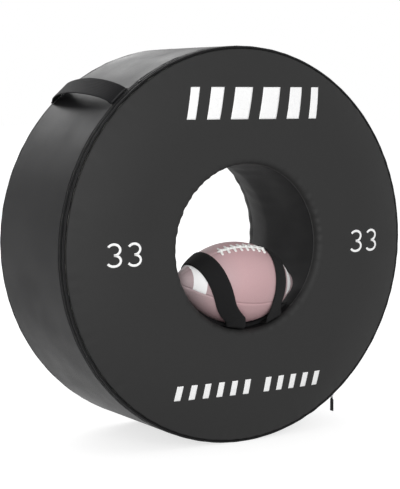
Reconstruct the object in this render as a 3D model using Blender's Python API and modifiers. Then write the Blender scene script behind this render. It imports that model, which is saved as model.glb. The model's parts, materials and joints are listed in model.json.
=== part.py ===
# Tackling wheel: a foam ring in a zipped vinyl cover, with a carry handle
# and two elastic straps that hold a ball in the hole.
# Metres, +Z up, the wheel's axis along Y, its front face towards -Y.
# The origin is where the tread meets the ground, half way along the axis.

import math

import bmesh
import bpy
import numpy as np
from mathutils import Matrix, Vector

# Wheel
wheel_radius = 0.419
rim_depth = 0.305
turn_steps = 52
front_crown = 0.030
back_crown = 0.006
plateau_radius = 0.262
vinyl = 0.0012
gap = 0.0003

# Hole through the wheel
bore_radius = 0.174
back_flare = 0.030
flare_start = 0.010
front_lip = 0.015
back_lip = 0.040
lip_seam_run = 0.002
front_lip_points = 4
back_lip_points = 5

# Foam ring under the cover
tread_pad = 0.025
front_slab_depth = 0.110
back_slab_depth = 0.100
rim_chamfer = 0.0105
crown_points = 4

# Facets of round pieces
merge_distance = 0.00003
sharp_angle = math.radians(40.0)
pin_sides = 14

# Corded edges of the cover
piping_radius = 0.003
piping_inset = 0.0005
piping_sides = 6

# Zip round the front edge of the tread
zip_end = math.radians(125.0)
arc_step = math.radians(3.0)
tape_width = 0.004
tape_thickness = 0.0012
chain_width = 0.004
chain_height = 0.0024
stop_length = 0.005
stop_rise = 0.0006
slider_angle = math.radians(-54.5)
slider_length = 0.012
slider_width = 0.0095
slider_plate = 0.0016
slider_skirt = 0.0009
slider_clearance = 0.0005
slider_bevel = 0.0005
slider_rest_gap = 0.0015
ear_thickness = 0.0012
ear_length = 0.0034
ear_spread = 0.0058
ear_top = 0.0012
ear_root = 0.0008
pin_radius = 0.0006
pin_height = 0.0024
eye_radius = 0.0015
eye_clearance = 0.0002
bail_rod = 0.0014
bail_width = 0.0078
bail_length = 0.0085
bail_neck_bite = 0.0004
tab_thickness = 0.0020
tab_length = 0.026
tab_blade_width = 0.010
tab_eye_radius = 0.0022
tab_bite = 0.0006
pull_angle = math.radians(-90.0)

# Carry handle across the tread
handle_facet = 19
handle_width = 0.048
webbing = 0.003
handle_rise = 0.028
handle_arch_power = 0.45
handle_front_margin = 0.0215
handle_back_margin = 0.0045
handle_foot = 0.008
handle_steps = 16

# Ball
ball_half_length = 0.143
ball_radius = 0.086
ball_setback = 0.0495
ball_tilt = math.radians(4.4)
ball_clearance = 0.0005
lace_seam = math.radians(64.0)
panel_count = 4
panel_steps = 6
panel_thickness = 0.0025
panel_rows = 10
tip_radius = 0.004
lace_half_length = 0.058
lace_shift = 0.011
lace_count = 8
lace_width = 0.0045
lace_height = 0.0020
lace_lift = 0.0004
lace_stitch = 0.024
lace_stitch_rise = 0.0014
valve_radius = 0.0035
valve_length = 0.012
valve_recess = 0.0012
valve_station = 0.030

# Pad under the ball and the straps over it
seat_thickness = 0.009
seat_half_angle = math.radians(42.0)
seat_setback = 0.0325
seat_length = 0.045
strap_width = 0.042
strap_thickness = 0.0025
strap_clearance = 0.0014
strap_steps = 24
foot_length = 0.022
foot_gap = 0.0006
foot_margin = 0.0010
left_strap_top = -0.104
left_front_turn = 0.046
left_back_turn = 0.030
left_front_anchor = -0.030
left_front_slant = 0.30
left_back_anchor = -0.070
right_strap_top = 0.072
right_front_turn = -0.003
right_back_turn = -0.003
right_front_anchor = 0.066
right_back_anchor = 0.066
strap_front_leave = math.radians(124.0)
strap_back_leave = math.radians(118.0)
strap_turn_power = 1.75
bend_radius = 0.0085
bend_steps = 3
run_steps = 6
run_clearance = 0.0022
run_bow = 0.0050
run_turn_share = 0.82

# A tool that cuts past a surface goes this far beyond it
overrun = 0.002

half_depth = rim_depth / 2
front_depth = half_depth + front_crown
ball_depth = front_depth - ball_setback
seat_front = front_depth - seat_setback
seat_back = seat_front - seat_length
facet_half_angle = math.pi / turn_steps
facet_flat_share = math.cos(facet_half_angle)
wheel_height = wheel_radius * facet_flat_share
cover = vinyl + gap
zip_start = slider_angle - (slider_length / 2 + slider_rest_gap + stop_length) / wheel_radius
handle_angle = 2 * facet_half_angle * handle_facet

# Local Z of the wheel's frame points out of the front face
face_frame = Matrix.Translation((0, 0, wheel_height)) @ Matrix.Rotation(math.pi / 2, 4, "X")
turned_frame = face_frame @ Matrix.Rotation(facet_half_angle, 4, "Z")

vinyl_black = ("black_vinyl", (0.040, 0.040, 0.042), 0.42, 0.0)
vinyl_tread = ("black_vinyl_tread", (0.045, 0.045, 0.047), 0.38, 0.0)
foam_grey = ("foam", (0.45, 0.45, 0.43), 0.95, 0.0)
webbing_black = ("black_webbing", (0.012, 0.012, 0.013), 0.80, 0.0)
piping_black = ("black_piping", (0.020, 0.020, 0.021), 0.50, 0.0)
zip_black = ("black_nylon", (0.015, 0.015, 0.016), 0.55, 0.0)
zip_metal = ("nickel_plated_zinc", (0.70, 0.70, 0.72), 0.25, 1.0)
tab_black = ("black_pull_tab", (0.010, 0.010, 0.011), 0.60, 0.0)
leather = ("ball_leather", (0.55, 0.36, 0.36), 0.55, 0.0)
bladder_black = ("bladder_rubber", (0.030, 0.030, 0.032), 0.70, 0.0)
lace_white = ("white_lace", (0.85, 0.85, 0.84), 0.60, 0.0)


def make_collection(name):
    collection = bpy.data.collections.new(name)
    bpy.context.scene.collection.children.link(collection)
    return collection


def surface(finish):
    name, colour, roughness, metallic = finish
    material = bpy.data.materials.new(name)
    material.use_nodes = True
    shader = material.node_tree.nodes["Principled BSDF"]
    shader.inputs["Base Color"].default_value = (*colour, 1)
    shader.inputs["Roughness"].default_value = roughness
    shader.inputs["Metallic"].default_value = metallic
    material.diffuse_color = (*colour, 1)
    return material


def place(name, data, collection, finish=None, frame=None):
    piece = bpy.data.objects.new(name, data)
    collection.objects.link(piece)
    if frame is not None:
        piece.matrix_world = frame
    if finish is not None:
        data.materials.append(surface(finish))
    return piece


def place_cutter(name, mesh, frame):
    tool = place(name, mesh, cutters, frame=frame)
    tool.hide_render = True
    tool.display_type = "WIRE"
    return tool


def mesh_from(name, points, edges, faces):
    mesh = bpy.data.meshes.new(name)
    mesh.from_pydata([tuple(p) for p in points], edges, faces)
    mesh.update()
    return mesh


def add_screw(piece, steps):
    screw = piece.modifiers.new("turn", "SCREW")
    screw.axis = "Z"
    screw.angle = 2 * math.pi
    screw.steps = steps
    screw.render_steps = steps
    screw.use_merge_vertices = True
    screw.merge_threshold = merge_distance


def shade(mesh):
    """Smooth all over, except at the sharp corners."""
    mesh.shade_smooth()
    mesh.set_sharp_from_angle(angle=sharp_angle)
    return mesh


def apply_modifiers(piece):
    bpy.context.view_layer.update()
    graph = bpy.context.evaluated_depsgraph_get()
    mesh = bpy.data.meshes.new_from_object(piece.evaluated_get(graph))
    piece.modifiers.clear()
    piece.data = shade(mesh)


def add_wall(piece, thickness):
    wall = piece.modifiers.new("wall", "SOLIDIFY")
    wall.thickness = thickness
    wall.offset = -1
    wall.use_even_offset = True


def add_bevel(piece, width):
    bevel = piece.modifiers.new("edges", "BEVEL")
    bevel.width = width
    bevel.segments = 1
    bevel.limit_method = "ANGLE"


def add_boolean(piece, tool, operation):
    step = piece.modifiers.new(operation.lower(), "BOOLEAN")
    step.operation = operation
    step.object = tool
    step.solver = "EXACT"


def turned(name, profile, finish, closed, frame, wall=None, steps=turn_steps):
    """A profile of (radius, height) points turned about local Z."""
    count = len(profile)
    edges = [(i, i + 1) for i in range(count - 1)]
    if closed:
        edges.append((count - 1, 0))
    mesh = mesh_from(name, [(r, 0, z) for r, z in profile], edges, [])
    piece = place(name, mesh, parts, finish, frame)
    add_screw(piece, steps)
    if wall is not None:
        add_wall(piece, wall)
    apply_modifiers(piece)
    return piece


def arc(centre, radius, start, end, count):
    """Points on an arc, from the start angle to the end angle."""
    angles = np.linspace(start, end, count)
    return [(centre[0] + radius * math.cos(a), centre[1] + radius * math.sin(a)) for a in angles]


def ring_sector(name, inner, outer, start, end, low, high, finish):
    """A flat sector of a ring in the wheel's face plane, from low to high along the axis."""
    count = max(int(round((end - start) / arc_step)), 1) + 1
    outline = arc((0, 0), outer, start, end, count) + arc((0, 0), inner, end, start, count)
    curve = bpy.data.curves.new(name, "CURVE")
    curve.dimensions = "2D"
    curve.fill_mode = "BOTH"
    curve.extrude = (high - low) / 2
    spline = curve.splines.new("POLY")
    spline.points.add(len(outline) - 1)
    for point, (x, y) in zip(spline.points, outline):
        point.co = (x, y, 0, 1)
    spline.use_cyclic_u = True
    frame = face_frame @ Matrix.Translation((0, 0, (low + high) / 2))
    return place(name, curve, parts, finish, frame)


def loft_mesh(name, rings):
    """A closed skin over rings of equally many points, with a face on each end."""
    size = len(rings[0])
    points = [p for ring in rings for p in ring]
    faces = [list(range(size))[::-1]]
    for k in range(len(rings) - 1):
        for i in range(size):
            j = (i + 1) % size
            faces.append([k * size + i, k * size + j, (k + 1) * size + j, (k + 1) * size + i])
    last = (len(rings) - 1) * size
    faces.append([last + i for i in range(size)])
    mesh = mesh_from(name, points, [], faces)
    work = bmesh.new()
    work.from_mesh(mesh)
    bmesh.ops.recalc_face_normals(work, faces=work.faces)
    work.to_mesh(mesh)
    work.free()
    return shade(mesh)


def box_mesh(name, size, centre=(0, 0, 0)):
    work = bmesh.new()
    bmesh.ops.create_cube(work, size=1)
    bmesh.ops.scale(work, vec=size, verts=work.verts)
    bmesh.ops.translate(work, vec=centre, verts=work.verts)
    mesh = bpy.data.meshes.new(name)
    work.to_mesh(mesh)
    work.free()
    return mesh


def rod_mesh(name, radius, length, turn, centre=(0, 0, 0)):
    work = bmesh.new()
    bmesh.ops.create_cone(work, cap_ends=True, segments=pin_sides, radius1=radius, radius2=radius,
                          depth=length, matrix=Matrix.Translation(centre) @ turn)
    mesh = bpy.data.meshes.new(name)
    work.to_mesh(mesh)
    work.free()
    return shade(mesh)


def face_edge():
    """Radius at which a face meets the corded edge."""
    return wheel_radius - piping_inset - 2 * piping_radius - gap


def face_line(crown, inner, outer, inset=0):
    """Points of a face from one radius to another: flat near the hole, then falling to the rim."""
    shares = [math.sin(math.pi / 2 * k / crown_points) for k in range(crown_points + 1)]
    radii = [plateau_radius + (face_edge() - plateau_radius) * share for share in shares]
    heights = [half_depth + crown * (1 - share ** 2) - inset for share in shares]
    wanted = [inner] + [r for r in radii if inner < r < outer] + [outer]
    return [(r, float(np.interp(r, radii, heights))) for r in wanted]


def mirrored(points):
    """The same points on the other side of the wheel's middle plane, in the opposite order."""
    return [(r, -height) for r, height in points][::-1]


def front_lip_arc(inset, count):
    centre = (bore_radius + front_lip, half_depth + front_crown - front_lip)
    return arc(centre, front_lip - inset, math.pi, math.pi / 2, count)


def back_lip_arc(inset, count):
    centre = (bore_radius + back_flare + back_lip, -half_depth - back_crown + back_lip)
    return arc(centre, back_lip - inset, -math.pi / 2, -math.pi, count)


def bore_line(height):
    """Radius of the hole at a height: straight in front, then wider towards the back lip."""
    lip_height = -half_depth - back_crown + back_lip
    share = (-flare_start - height) / (-flare_start - lip_height)
    return bore_radius + back_flare * min(max(share, 0), 1)


def make_foam():
    """Three glued slabs and a softer strip wrapped round them."""
    outer = wheel_radius - cover - tread_pad
    top = half_depth + front_crown - cover
    front_joint = top - front_slab_depth
    back_joint = -half_depth - back_crown + cover + back_slab_depth
    profile = [(bore_line(front_joint) + cover, front_joint)] + front_lip_arc(cover, front_lip_points)
    profile += face_line(front_crown, bore_radius + front_lip + lip_seam_run, outer - gap, cover)
    profile.append((outer - gap, front_joint))
    turned("foam_slab_front", profile, foam_grey, True, turned_frame)
    profile = [
        (bore_line(back_joint + gap) + cover, back_joint + gap),
        (bore_line(-flare_start) + cover, -flare_start),
        (bore_line(front_joint - gap) + cover, front_joint - gap),
        (outer - gap, front_joint - gap),
        (outer - gap, back_joint + gap),
    ]
    turned("foam_slab_middle", profile, foam_grey, True, turned_frame)
    profile = [(bore_line(back_joint) + cover, back_joint), (outer - gap, back_joint)]
    back_start = bore_radius + back_flare + back_lip + lip_seam_run
    profile += mirrored(face_line(back_crown, back_start, outer - gap, cover))
    profile += back_lip_arc(cover, back_lip_points)
    turned("foam_slab_back", profile, foam_grey, True, turned_frame)
    edge = wheel_radius - cover
    band_edge = band_inner() - gap
    band_low = zip_places()[4] - gap
    profile = face_line(front_crown, outer, edge - rim_chamfer + cover, cover)
    profile += [(band_edge, half_depth - rim_chamfer), (band_edge, band_low), (edge, band_low)]
    profile += mirrored(face_line(back_crown, outer, edge - rim_chamfer + cover, cover)
                        + [(edge, half_depth - rim_chamfer)])
    turned("tread_foam_wrap", profile, foam_grey, True, turned_frame)


def make_cover():
    """Two faces, the tread, and the sleeve through the hole with the rolled lips that it is
    sewn to, each its own panel."""
    front_start = bore_radius + front_lip + lip_seam_run
    profile = face_line(front_crown, front_start + gap, face_edge())
    turned("front_panel", profile, vinyl_black, False, turned_frame, wall=vinyl)
    back_start = bore_radius + back_flare + back_lip + lip_seam_run
    profile = mirrored(face_line(back_crown, back_start + gap, face_edge()))
    turned("back_panel", profile, vinyl_black, False, turned_frame, wall=vinyl)
    back_arc = back_lip_arc(0, back_lip_points)
    front_arc = front_lip_arc(0, front_lip_points)
    back_seam = back_arc[-1][1] + lip_seam_run
    front_seam = front_arc[0][1] - lip_seam_run
    profile = [(back_start, -half_depth - back_crown)] + back_arc + [(bore_line(back_seam), back_seam)]
    turned("hole_lip_back", profile, vinyl_black, False, turned_frame, wall=vinyl)
    profile = [(bore_radius, front_seam)] + front_arc + [(front_start, half_depth + front_crown)]
    turned("hole_lip_front", profile, vinyl_black, False, turned_frame, wall=vinyl)
    profile = [(bore_line(back_seam + gap), back_seam + gap), (bore_radius, -flare_start),
               (bore_radius, front_seam - gap)]
    turned("bore_sleeve", profile, vinyl_black, False, turned_frame, wall=vinyl)
    tread_front = half_depth - band_offset() - 2 * tape_width - chain_width - 3 * gap
    tread_back = -half_depth + band_offset()
    turned("tread_panel", [(wheel_radius, tread_front), (wheel_radius, tread_back)],
           vinyl_tread, False, turned_frame, wall=vinyl)


def band_offset():
    """How far in from the rim plane the corded edge reaches along the tread."""
    return piping_inset + 2 * piping_radius + gap


def make_piping():
    reach = piping_inset + piping_radius
    half_side = math.pi / piping_sides
    for name, side in (("front_piping", 1), ("back_piping", -1)):
        centre = (wheel_radius - reach, side * (half_depth - reach))
        loop = arc(centre, piping_radius, 2 * math.pi + half_side, half_side, piping_sides + 1)
        turned(name, loop[:-1], piping_black, True, turned_frame)


def band_inner():
    """Radius of the underside of the zip's tapes, just inside the tread's flat facets."""
    return wheel_height - gap - tape_thickness


def zip_places():
    """Heights along the axis of the two tapes and the chain between them."""
    front_high = half_depth - band_offset()
    front_low = front_high - tape_width
    chain_high = front_low - gap
    chain_low = chain_high - chain_width
    back_high = chain_low - gap
    back_low = back_high - tape_width
    return front_low, front_high, chain_low, chain_high, back_low, back_high


def make_zip():
    front_low, front_high, chain_low, chain_high, back_low, back_high = zip_places()
    inner = band_inner()
    outer = inner + tape_thickness
    chain_outer = inner + chain_height
    ring_sector("zip_tape_front", inner, outer, zip_start, zip_end, front_low, front_high, zip_black)
    ring_sector("zip_tape_back", inner, outer, zip_start, zip_end, back_low, back_high, zip_black)
    stop_angle = stop_length / wheel_radius
    gap_angle = gap / wheel_radius
    ring_sector("zip_chain", inner, chain_outer, zip_start + stop_angle + gap_angle,
                zip_end - stop_angle - gap_angle, chain_low, chain_high, zip_black)
    ring_sector("zip_stop_closed_end", inner, chain_outer + stop_rise, zip_start,
                zip_start + stop_angle, chain_low, chain_high, zip_metal)
    ring_sector("zip_stop_open_end", inner, chain_outer + stop_rise, zip_end - stop_angle,
                zip_end, chain_low, chain_high, zip_metal)
    seam_start = zip_end + gap_angle
    seam_end = zip_start + 2 * math.pi - gap_angle
    ring_sector("front_seam_band", inner, outer, seam_start, seam_end, back_low, front_high, vinyl_tread)
    return chain_outer, (chain_low + chain_high) / 2


def zip_frame(point, outward):
    """Local Y along the wheel's axis to the front, local Z the given way in the face plane."""
    forward = Vector((0, 0, 1))
    along = forward.cross(outward)
    turn = Matrix((along, forward, outward)).transposed().to_4x4()
    return face_frame @ Matrix.Translation(point) @ turn


def in_face(angle):
    """The direction in the wheel's face plane at an angle from local X."""
    return Vector((math.cos(angle), math.sin(angle), 0))


def add_tool(piece, name, mesh, frame, operation):
    add_boolean(piece, place_cutter(name, mesh, frame), operation)


def make_slider(chain_outer, middle):
    """A plate with side skirts over the chain, and two ears with a pin across them.
    Its origin lies on the wheel's axis, which it travels round."""
    frame = zip_frame(Vector((0, 0, middle)), in_face(slider_angle))
    across = Matrix.Rotation(math.pi / 2, 4, "X")
    floor = chain_outer + slider_clearance
    plate_top = floor + slider_plate
    skirt_end = chain_outer - slider_skirt
    body = place("zip_slider", box_mesh("zip_slider", (slider_length, slider_width, plate_top - skirt_end),
                                        (0, 0, (plate_top + skirt_end) / 2)), parts, zip_metal, frame)
    channel = chain_width + 2 * slider_clearance
    add_tool(body, "zip_slider_channel",
             box_mesh("zip_slider_channel", (slider_length + 2 * overrun, channel, overrun),
                      (0, 0, floor - overrun / 2)), frame, "DIFFERENCE")
    add_bevel(body, slider_bevel)
    pin_level = plate_top + pin_height
    ear_start = plate_top - ear_root
    ear_end = pin_level + ear_top
    ear_size = (ear_length, ear_thickness, ear_end - ear_start)
    for side, label in ((1, "front"), (-1, "back")):
        centre = (0, side * (ear_spread + ear_thickness) / 2, (ear_start + ear_end) / 2)
        add_tool(body, "zip_slider_ear_" + label, box_mesh("ear", ear_size, centre), frame, "UNION")
    add_tool(body, "zip_slider_pin",
             rod_mesh("pin", pin_radius, ear_spread + ear_thickness, across, (0, 0, pin_level)),
             frame, "UNION")
    return pin_level


def make_puller(pin_distance, middle):
    """A wire bail on the slider's pin, and a tab that hangs from the bail."""
    pin_place = in_face(slider_angle) * pin_distance + Vector((0, 0, middle))
    frame = zip_frame(pin_place, in_face(pull_angle))
    across = Matrix.Rotation(math.pi / 2, 4, "X")
    eye = place("zip_bail", rod_mesh("zip_bail", eye_radius, ear_spread - 2 * gap, across),
                parts, zip_metal, frame)
    neck_start = eye_radius - bail_neck_bite
    shoulder = eye_radius + ear_length / 2
    bar_level = bail_length - bail_rod / 2
    rods = [
        box_mesh("neck", (bail_rod, bail_rod, shoulder - neck_start + bail_rod / 2),
                 (0, 0, (shoulder + neck_start + bail_rod / 2) / 2)),
        box_mesh("shoulder", (bail_rod, bail_width, bail_rod), (0, 0, shoulder + bail_rod / 2)),
        box_mesh("foot", (bail_rod, bail_width, bail_rod), (0, 0, bar_level)),
    ]
    for side in (1, -1):
        rods.append(box_mesh("side", (bail_rod, bail_rod, bail_length - shoulder),
                             (0, side * (bail_width - bail_rod) / 2, (bail_length + shoulder) / 2)))
    for index, mesh in enumerate(rods):
        add_tool(eye, "zip_bail_rod_%d" % index, mesh, frame, "UNION")
    add_tool(eye, "zip_bail_bore",
             rod_mesh("bail_bore", pin_radius + eye_clearance, ear_spread + 2 * overrun, across),
             frame, "DIFFERENCE")
    eye_width = bail_width - 2 * bail_rod - 2 * gap
    blade_start = bar_level + tab_eye_radius - tab_bite
    loop = place("zip_pull_tab",
                 rod_mesh("zip_pull_tab", tab_eye_radius, eye_width, across, (0, 0, bar_level)),
                 parts, tab_black, frame)
    add_tool(loop, "zip_tab_blade",
             box_mesh("blade", (tab_thickness, tab_blade_width, tab_length),
                      (0, 0, blade_start + tab_length / 2)), frame, "UNION")
    add_tool(loop, "zip_tab_slot",
             rod_mesh("slot", bail_rod / math.sqrt(2) + gap, eye_width + 2 * overrun, across,
                      (0, 0, bar_level)), frame, "DIFFERENCE")


def ribbon(name, line, width, thickness, finish):
    """A flat strap along a line of centre points, each with the direction that its face looks."""
    centres = np.array([point for point, look in line])
    out = np.array([look for point, look in line])
    along = np.gradient(centres, axis=0)
    along /= np.linalg.norm(along, axis=1)[:, None]
    out -= (out * along).sum(1)[:, None] * along
    out /= np.linalg.norm(out, axis=1)[:, None]
    widths = np.cross(out, along)
    corners = ((-1, -1), (1, -1), (1, 1), (-1, 1))
    rings = [[c + w * a * width / 2 + o * b * thickness / 2 for a, b in corners]
             for c, w, o in zip(centres, widths, out)]
    return place(name, loft_mesh(name, rings), parts, finish)


def make_handle():
    """Webbing sewn down near both rims, standing off the tread between them."""
    outward = Vector((math.cos(handle_angle), 0, math.sin(handle_angle)))
    base = Vector((0, 0, wheel_height)) + outward * (wheel_height + gap + webbing / 2)
    front_end = -half_depth + handle_front_margin
    back_end = half_depth - handle_back_margin
    rise_start = front_end + handle_foot
    rise_end = back_end - handle_foot
    line = [(base + Vector((0, front_end, 0)), outward)]
    for k in range(handle_steps + 1):
        share = k / handle_steps
        lift = handle_rise * math.sin(math.pi * share) ** handle_arch_power
        depth = rise_start + (rise_end - rise_start) * share
        line.append((base + Vector((0, depth, 0)) + outward * lift, outward))
    line.append((base + Vector((0, back_end, 0)), outward))
    ribbon("carry_handle", line, handle_width, webbing, webbing_black)


def ball_profile(station, inset=0):
    """Radius of the ball at a distance from its middle: an arc turned about its own chord."""
    arc_radius = (ball_half_length ** 2 + ball_radius ** 2) / (2 * ball_radius)
    return math.sqrt(max((arc_radius - inset) ** 2 - station ** 2, 0)) - (arc_radius - ball_radius)


def ball_slope(station):
    """Angle of the ball's surface to its long axis at a distance from its middle."""
    arc_radius = (ball_half_length ** 2 + ball_radius ** 2) / (2 * ball_radius)
    return math.asin(station / arc_radius)


def tip_station(radius, inset=0):
    """Distance from the middle at which the ball has the given radius."""
    arc_radius = (ball_half_length ** 2 + ball_radius ** 2) / (2 * ball_radius)
    return math.sqrt((arc_radius - inset) ** 2 - (radius + arc_radius - ball_radius) ** 2)


def ball_frame():
    """Local X to the front, local Y up, local Z along the ball to the left.
    The ball is as low as its whole length stays clear of the pad's round floor."""
    reach = bore_radius * facet_flat_share - gap - seat_thickness - ball_clearance
    stations = panel_stations(0) + [0]
    drop = min(math.sqrt(max(reach ** 2 - s ** 2, 0)) - ball_profile(s) for s in stations)
    centre = Vector((-drop * math.sin(ball_tilt), -ball_depth, wheel_height - drop * math.cos(ball_tilt)))
    long_axis = Vector((-math.cos(ball_tilt), 0, math.sin(ball_tilt)))
    front = Vector((0, -1, 0))
    up = long_axis.cross(front)
    return Matrix.Translation(centre) @ Matrix((front, up, long_axis)).transposed().to_4x4()


def panel_stations(inset):
    """Places along the ball, closer together towards its tips."""
    tip = tip_station(tip_radius, inset)
    return [tip * math.sin(math.pi / 2 * (1 - 2 * k / panel_rows)) for k in range(panel_rows + 1)]


def panel_mesh(name):
    """A quarter of the ball's skin: its outer and inner arcs, swept between two planes
    that keep half a gap to the seams on either side."""
    section = [(ball_profile(s), s) for s in panel_stations(0)]
    section += [(ball_profile(s, panel_thickness), s) for s in panel_stations(panel_thickness)][::-1]
    quarter = 2 * math.pi / panel_count
    rings = []
    for k in range(panel_steps + 1):
        ring = []
        for radius, station in section:
            margin = math.asin(gap / 2 / radius)
            angle = margin + (quarter - 2 * margin) * k / panel_steps
            ring.append((radius * math.cos(angle), radius * math.sin(angle), station))
        rings.append(ring)
    return loft_mesh(name, rings)


def make_ball(frame):
    """Four leather panels round a bladder, with a lace along one seam."""
    names = ("ball_panel_upper_back", "ball_panel_lower_back",
             "ball_panel_lower_front", "ball_panel_upper_front")
    quarter = 2 * math.pi / panel_count
    valve_out = in_face(lace_seam + quarter + quarter / 2)
    valve_axis = valve_out.to_track_quat("Z", "Y").to_matrix().to_4x4()
    valve_place = Vector((0, 0, valve_station))
    valve_top = ball_profile(valve_station) - valve_recess
    pocket_end = valve_top - valve_length - gap
    pocket_start = valve_top + valve_recess + overrun
    pocket_middle = valve_out * (pocket_start + pocket_end) / 2 + valve_place
    pocket_mesh = rod_mesh("pocket", valve_radius + gap, pocket_start - pocket_end, valve_axis,
                           pocket_middle)
    pocket = place_cutter("ball_valve_pocket", pocket_mesh, frame)
    for index, name in enumerate(names):
        turn = frame @ Matrix.Rotation(lace_seam + index * quarter, 4, "Z")
        panel = place(name, panel_mesh(name), parts, leather, turn)
        if name == "ball_panel_lower_back":
            add_boolean(panel, pocket, "DIFFERENCE")
    inset = panel_thickness + gap
    end = tip_station(0, inset)
    side = [(ball_profile(s, inset), s) for s in panel_stations(panel_thickness)]
    profile = [(0, end)] + side + [(0, -end)]
    bladder = turned("ball_bladder", profile, bladder_black, False,
                     frame @ Matrix.Rotation(lace_seam, 4, "Z"), steps=panel_count * panel_steps)
    add_boolean(bladder, pocket, "DIFFERENCE")
    place("ball_valve",
          rod_mesh("ball_valve", valve_radius, valve_length, valve_axis,
                   valve_out * (valve_top - valve_length / 2) + valve_place),
          parts, bladder_black, frame)


def make_laces(frame):
    """A spine along the seam with short stitches across it, joined into one piece."""
    turn = frame @ Matrix.Rotation(lace_seam, 4, "Z")
    low = -lace_half_length + lace_shift
    high = lace_half_length + lace_shift
    rings = []
    for station in np.linspace(low, high, lace_count + 1):
        level = ball_profile(station) + lace_lift
        rings.append([(level, -lace_width / 2, station), (level + lace_height, -lace_width / 2, station),
                      (level + lace_height, lace_width / 2, station), (level, lace_width / 2, station)])
    spine = place("ball_laces", loft_mesh("ball_laces", rings), parts, lace_white, turn)
    half_spacing = (high - low) / lace_count / 2
    for index, station in enumerate(np.linspace(low + half_spacing, high - half_spacing, lace_count)):
        level = ball_profile(station) + lace_lift + lace_stitch_rise
        tilt = Matrix.Rotation(-ball_slope(station), 4, "Y")
        add_tool(spine, "lace_stitch_%d" % index,
                 box_mesh("lace_stitch", (lace_height, lace_stitch, lace_width)),
                 turn @ Matrix.Translation((level, 0, station)) @ tilt, "UNION")


def make_seat():
    """The padded patch on the floor of the hole that the ball rests on."""
    outer = bore_radius * facet_flat_share - gap
    middle = -math.pi / 2
    ring_sector("ball_seat_pad", outer - seat_thickness, outer, middle - seat_half_angle,
                middle + seat_half_angle, seat_back, seat_front, vinyl_black)


def smooth_step(share):
    share = min(max(share, 0), 1)
    return share * share * (3 - 2 * share)


def strap_point(frame, top, front_turn, back_turn, angle, lift):
    """A point over the ball, the angle counted from its top towards the front.
    The strap slants more the nearer it comes to where it leaves the ball."""
    turn, leave = (front_turn, strap_front_leave) if angle > 0 else (back_turn, strap_back_leave)
    station = -(top + turn * (abs(angle) / leave) ** strap_turn_power)
    radius = ball_profile(station)
    slope = ball_slope(station)
    outward = Vector((math.cos(slope) * math.sin(angle), math.cos(slope) * math.cos(angle), math.sin(slope)))
    point = Vector((radius * math.sin(angle), radius * math.cos(angle), station)) + outward * lift
    return frame @ point, frame.to_3x3() @ outward


def foot_point(across, depth):
    """The middle of a strap's sewn end, lying on the floor of the hole."""
    floor = bore_radius * facet_flat_share - foot_gap
    angle = math.asin(across / floor)
    level = math.sqrt(floor ** 2 - (strap_width / 2) ** 2) - strap_thickness / 2
    outward = Vector((math.sin(angle), 0, -math.cos(angle)))
    return Vector((0, -depth, wheel_height)) + outward * level, outward


def hermite(start, end, start_pull, end_pull, share):
    a = 2 * share ** 3 - 3 * share ** 2 + 1
    b = share ** 3 - 2 * share ** 2 + share
    c = -2 * share ** 3 + 3 * share ** 2
    d = share ** 3 - share ** 2
    return start * a + start_pull * b + end * c + end_pull * d


def clear_of_ball(frame, point, lift):
    """The point, moved out from the ball's long axis where it is too close, and the way out."""
    local = frame.inverted() @ point
    needed = ball_profile(local.z) + lift
    distance = math.hypot(local.x, local.y)
    scale = max(needed / distance, 1)
    slope = ball_slope(local.z)
    level = math.cos(slope) / distance
    outward = Vector((level * local.x, level * local.y, math.sin(slope)))
    return frame @ Vector((local.x * scale, local.y * scale, local.z)), frame.to_3x3() @ outward


def strap_end(anchor, slant, start, side):
    """A strap's sewn end on the floor of the hole, and its rolled bend up off the floor.
    A strap that comes down at a slant drifts sideways as much again along its end."""
    ahead = Vector((0, -side, 0))
    bend_length = bend_radius * math.pi / 2
    fold = start + side * foot_length
    corner = slant * strap_width / 2
    flat_length = foot_length - corner
    points = [foot_point(anchor + slant * (bend_length + flat_length), start + side * corner)]
    for k in range(bend_steps + 1):
        share = k / bend_steps
        angle = math.pi / 2 * share
        foot, outward = foot_point(anchor + slant * bend_length * (1 - share), fold)
        point = foot + ahead * bend_radius * math.sin(angle) - outward * bend_radius * (1 - math.cos(angle))
        points.append((point, outward * math.cos(angle) + ahead * math.sin(angle)))
    return points


def strap_run(frame, leave, before, end, slant):
    """Points from where a strap leaves the ball down to the bend at its sewn end."""
    bend, ahead = end[-1]
    reach = (bend - leave).length
    start_pull = (leave - before).normalized() * reach
    down = end[0][1]
    end_pull = (down + Vector((-down.z, 0, down.x)) * slant).normalized() * reach
    points = []
    for k in range(1, run_steps):
        share = k / run_steps
        lift = strap_thickness / 2 + run_clearance + run_bow * math.sin(math.pi * share)
        point, outward = clear_of_ball(frame, hermite(leave, bend, start_pull, end_pull, share), lift)
        turned_share = smooth_step((share - run_turn_share) / (1 - run_turn_share))
        points.append((point, outward * (1 - turned_share) + ahead * turned_share))
    return points


def make_strap(name, frame, top, front_turn, back_turn, front_anchor, front_slant, back_anchor):
    """Elastic webbing sewn down before the ball, taken over it, and sewn down behind it."""
    lift = strap_clearance + strap_thickness / 2
    angles = np.linspace(strap_front_leave, -strap_back_leave, strap_steps)
    over = [strap_point(frame, top, front_turn, back_turn, a, lift) for a in angles]
    front_end = strap_end(front_anchor, front_slant, seat_front + foot_margin, 1)
    back_end = strap_end(back_anchor, 0, seat_back - foot_margin, -1)
    front_run = strap_run(frame, over[0][0], over[1][0], front_end, front_slant)
    back_run = strap_run(frame, over[-1][0], over[-2][0], back_end, 0)
    line = front_end + front_run[::-1] + over + back_run + back_end[::-1]
    ribbon(name, line, strap_width, strap_thickness, webbing_black)


for old in list(bpy.data.objects):
    bpy.data.objects.remove(old, do_unlink=True)
parts = make_collection("tackling_wheel")
cutters = make_collection("cutters")

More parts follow.
